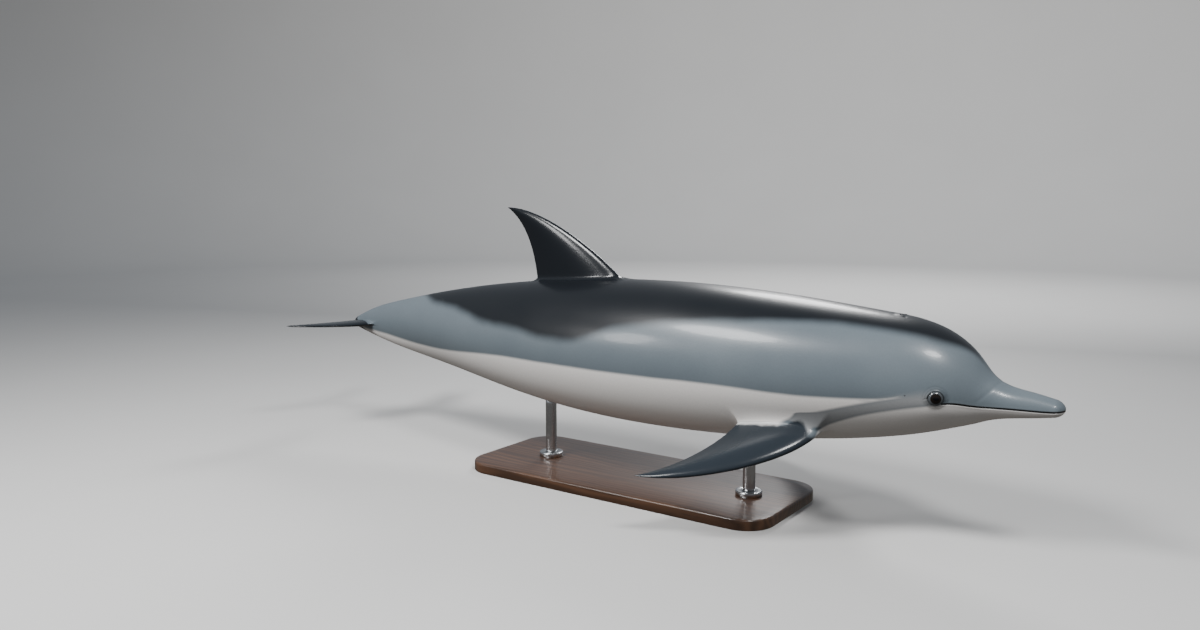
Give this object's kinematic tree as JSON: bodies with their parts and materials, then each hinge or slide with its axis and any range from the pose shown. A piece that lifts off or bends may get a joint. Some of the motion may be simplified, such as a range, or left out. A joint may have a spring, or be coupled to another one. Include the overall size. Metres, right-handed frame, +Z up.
{
  "type": "clymene dolphin model",
  "caption": "Life-size still model of a slender oceanic dolphin with a short beak, hooked fin and dark cape, held level by rods on a flat base.",
  "frame": {"origin": "middle of the bounding box, on the floor under the stand's base", "axes": "+X towards the beak's tip, +Y to the animal's left, +Z up"},
  "size_m": [1.966, 0.6506, 0.6531],
  "materials": {
    "skin": "smooth wet-looking skin: near-black cape, fin, flippers and flukes, grey flanks and tail stock, off-white belly",
    "eye": "dark polished eyeball",
    "stand_wood": "dark stained wood, satin lacquer",
    "stand_steel": "brushed steel"
  },
  "bodies": {
    "root": {"upper_beak": "skin", "lower_jaw": "skin", "head": "skin", "trunk": "skin", "tail_stock": "skin", "dorsal_fin": "skin", "flipper_left": "skin", "flipper_right": "skin", "fluke_left": "skin", "fluke_right": "skin", "eye_left": "eye", "eye_right": "eye", "stand_base": "stand_wood", "stand_rod_front": "stand_steel", "stand_rod_rear": "stand_steel", "stand_collar_front": "stand_steel", "stand_collar_rear": "stand_steel"}
  },
  "joints": []
}
